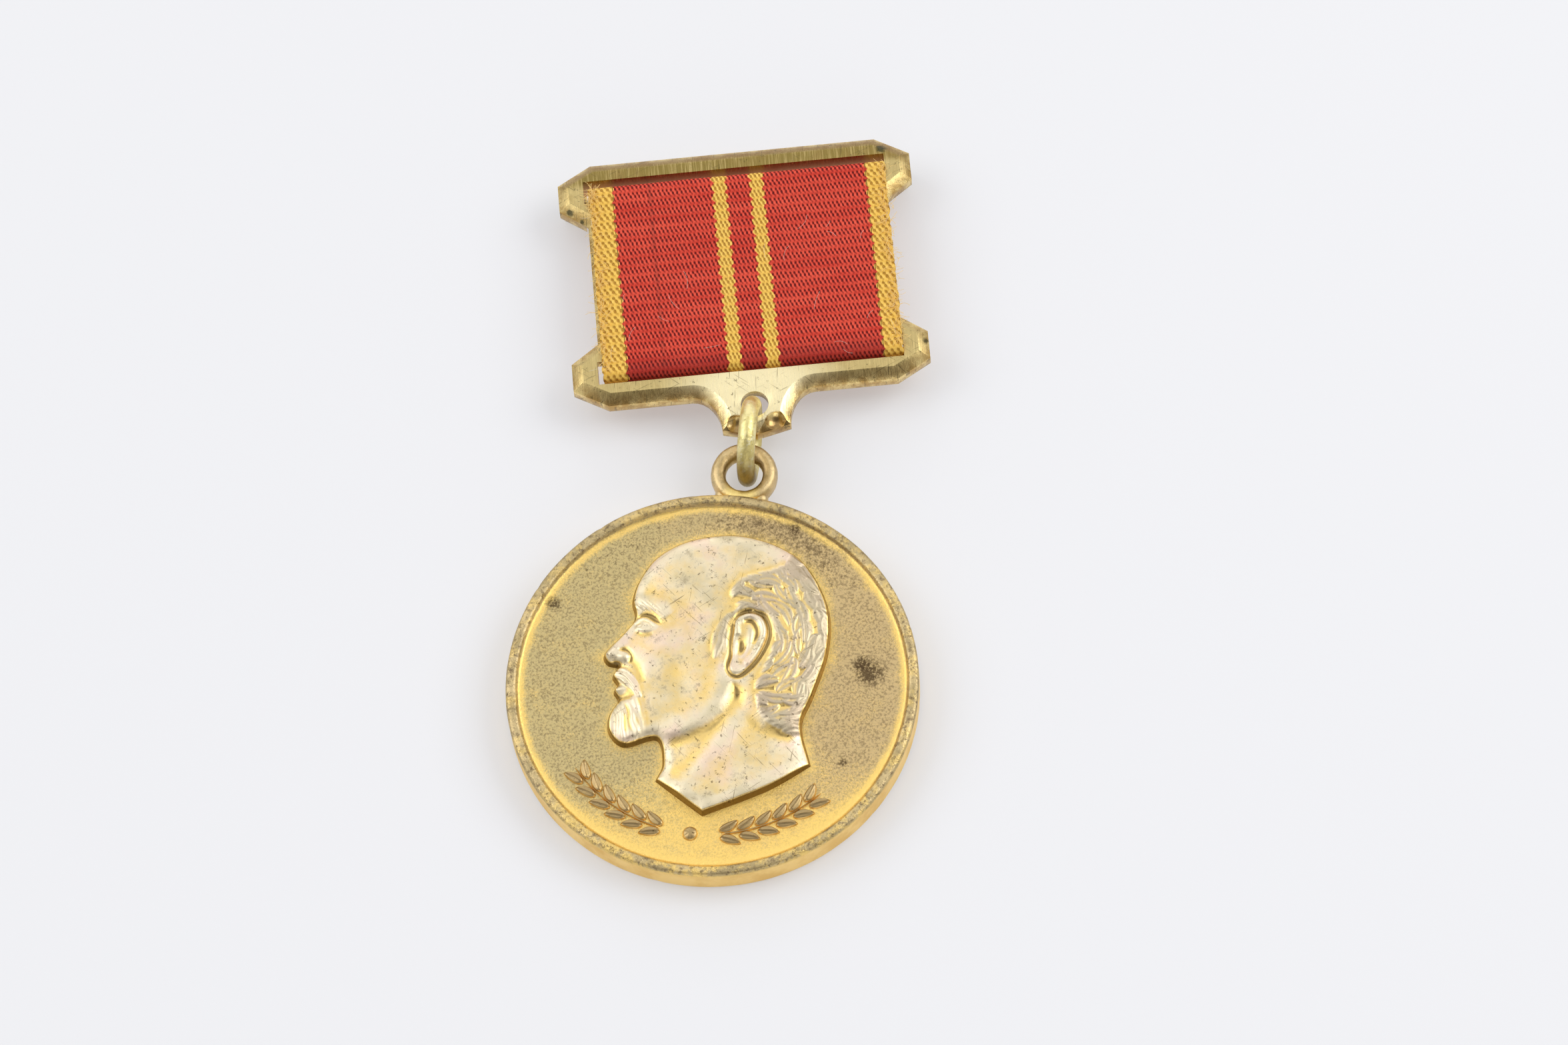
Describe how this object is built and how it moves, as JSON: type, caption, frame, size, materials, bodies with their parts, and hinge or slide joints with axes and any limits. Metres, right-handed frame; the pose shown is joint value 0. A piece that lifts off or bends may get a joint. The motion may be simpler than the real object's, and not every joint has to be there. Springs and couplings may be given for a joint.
{
  "type": "medal",
  "caption": "Round struck medal with a portrait relief, hanging by a jump ring from a pressed brass mount with a striped ribbon and a pin at the back.",
  "frame": {"origin": "middle of the disc's reverse field", "axes": "+Y from the disc towards the mount's top bar, +X along the mount's bars, +Z out of the front"},
  "size_m": [0.0354, 0.0623, 0.0072],
  "materials": {
    "struck_gilt": "gilt, matt struck field, worn relief",
    "eyelet_gilt": "gilt, worn",
    "ring_brass": "dull greenish brass wire",
    "plate_brass": "brushed front, dark oxide spots",
    "ribbon": "ribbed silk moire, red with yellow stripes",
    "pin_brass": "plain sheet brass",
    "pin_steel": "drawn steel wire"
  },
  "bodies": {
    "mount": {"mount_plate": "plate_brass", "ribbon": "ribbon", "hinge_bracket": "pin_brass", "hinge_rivet": "pin_brass", "catch_clip": "pin_brass"},
    "ring": {"jump_ring": "ring_brass"},
    "medal": {"medal_disc": "struck_gilt", "eyelet": "eyelet_gilt"},
    "pin": {"pin_needle": "pin_steel"}
  },
  "joints": [
    {"name": "ring_swing", "type": "hinge", "parent": "mount", "child": "ring", "pos_m": [0.00511, 0.02299, 0.00293], "axis": [0, 0, 1], "range_deg": [-25, 50]},
    {"name": "medal_fold", "type": "hinge", "parent": "ring", "child": "medal", "pos_m": [0.00459, 0.02013, 0.00293], "axis": [0.9839, -0.1788, 0], "range_deg": [-110, 3]},
    {"name": "pin_open", "type": "hinge", "parent": "mount", "child": "pin", "pos_m": [-0.00768, 0.04413, 0.00028], "axis": [0, 1, 0], "range_deg": [0, 95]}
  ]
}
